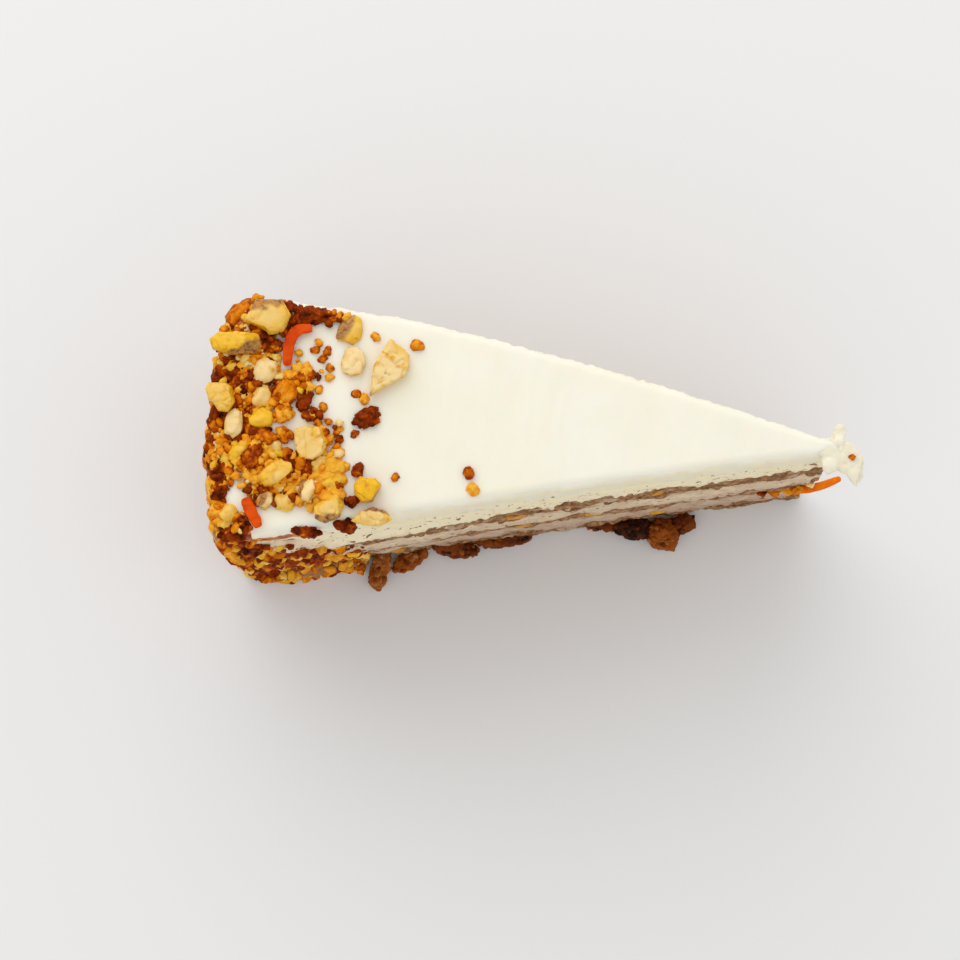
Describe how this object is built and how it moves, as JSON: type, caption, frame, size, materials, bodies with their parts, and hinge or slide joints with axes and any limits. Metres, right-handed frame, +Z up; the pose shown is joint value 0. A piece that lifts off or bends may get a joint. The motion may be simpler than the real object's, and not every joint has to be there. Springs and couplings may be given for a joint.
{
  "type": "carrot cake",
  "caption": "Narrow wedge of layered carrot cake with cream fillings, a smooth cream top and a coat of chopped walnuts and carrot shreds on its rounded back",
  "frame": {"origin": "on the plate under the middle of the slice, at the foot of the bottom cake layer", "axes": "+X along the slice from the nut-coated back to the tip, +Z up from the plate to the icing, +Y towards the far cut face"},
  "size_m": [0.131, 0.0516, 0.0796],
  "materials": {
    "icing": "smooth ivory cream icing, soft and slightly glossy",
    "cake": "rough brown sponge crumb",
    "filling": "cream filling smeared with crumbs at the cut",
    "walnut": "broken walnut, pale yellow flesh with tan skin",
    "carrot": "moist orange carrot strip"
  },
  "bodies": {
    "root": {"icing": "icing", "cake_layer_bottom": "cake", "cake_layer_middle": "cake", "cake_layer_top": "cake", "filling_over_bottom": "filling", "filling_over_middle": "filling", "walnut_far_corner": "walnut", "walnut_far_rim": "walnut", "walnut_back_rim": "walnut", "walnut_large": "walnut", "walnut_pale": "walnut", "walnut_middle": "walnut", "walnut_near_rim": "walnut", "walnut_grey": "walnut", "walnut_near_edge": "walnut", "walnut_yellow": "walnut", "walnut_almond_shaped": "walnut", "carrot_shred_far": "carrot", "carrot_shred_near": "carrot"}
  },
  "joints": []
}
